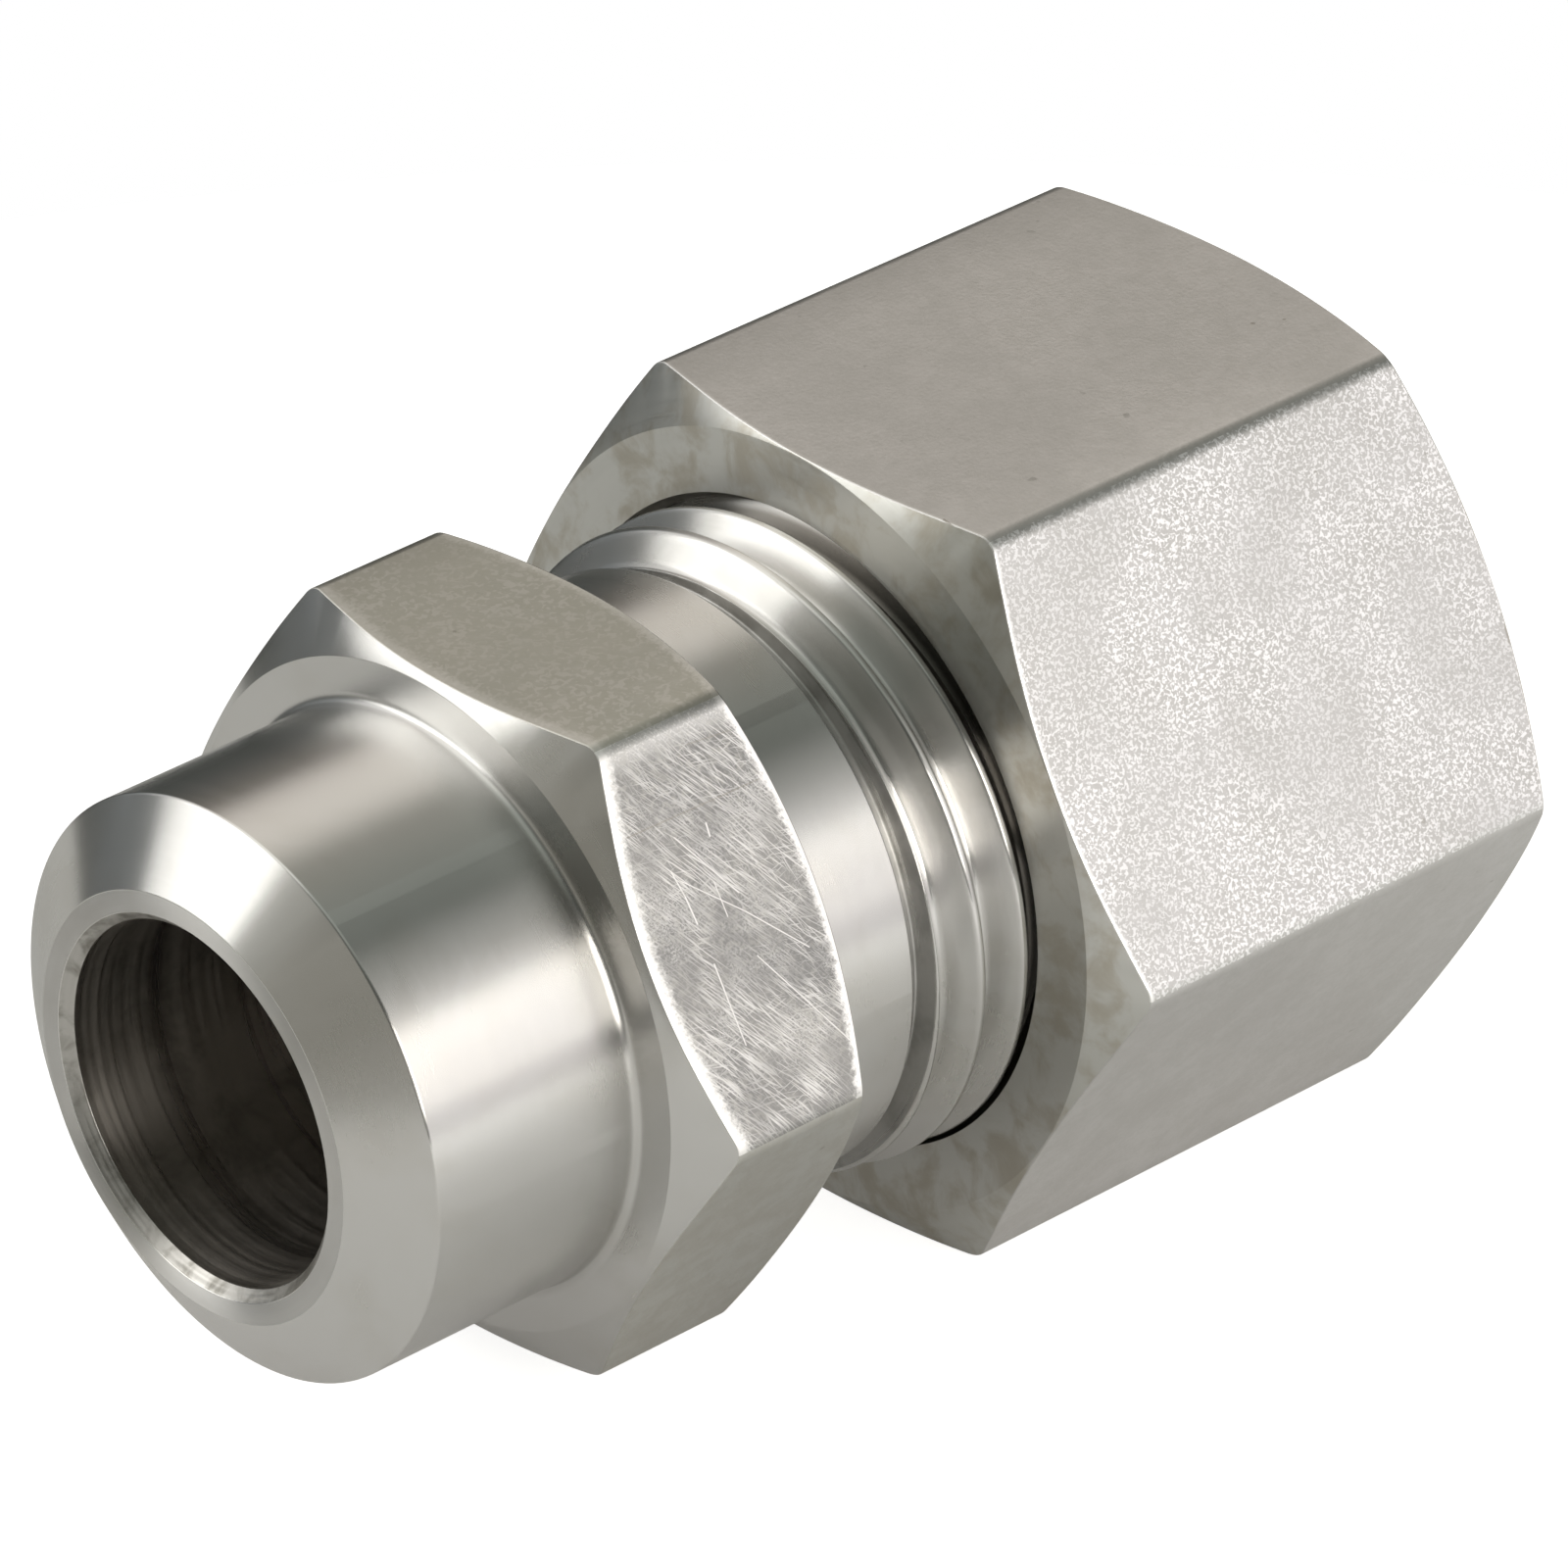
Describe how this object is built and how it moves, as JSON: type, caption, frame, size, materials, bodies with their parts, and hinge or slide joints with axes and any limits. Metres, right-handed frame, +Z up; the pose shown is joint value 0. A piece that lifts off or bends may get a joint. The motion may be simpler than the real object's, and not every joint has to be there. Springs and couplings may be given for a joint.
{
  "type": "weld fitting",
  "caption": "Stainless steel cone-seat tube connector: a bevelled weld spigot and hex body with a union nut and cutting ring that clamp a plain tube.",
  "frame": {"origin": "centre of the weld end face, on the flow axis", "axes": "+X along the flow axis, from the weld end to the tube end; +Z up, with one flat of the nut on the ground"},
  "size_m": [0.0364, 0.0252, 0.022],
  "materials": {
    "body_steel": "turned and polished, hex flats drawn and scratched",
    "ring_steel": "turned",
    "nut_steel": "drawn hex bar, matte and sparkling flats"
  },
  "bodies": {
    "weld_body": {"weld_body": "body_steel"},
    "cutting_ring": {"cutting_ring": "ring_steel"},
    "union_nut": {"union_nut": "nut_steel"}
  },
  "joints": [
    {"name": "nut_travel", "type": "slide", "parent": "weld_body", "child": "cutting_ring", "axis": [1, 0, 0], "range_m": [0, 0.00675]},
    {"name": "nut_turn", "type": "hinge", "parent": "cutting_ring", "child": "union_nut", "pos_m": [0.024, 0, 0], "axis": [1, 0, 0], "range_deg": [0, 1620]}
  ],
  "couplings": [
    {"joint": "nut_travel", "follows": "nut_turn", "m_per_rad": 0.00023873}
  ]
}
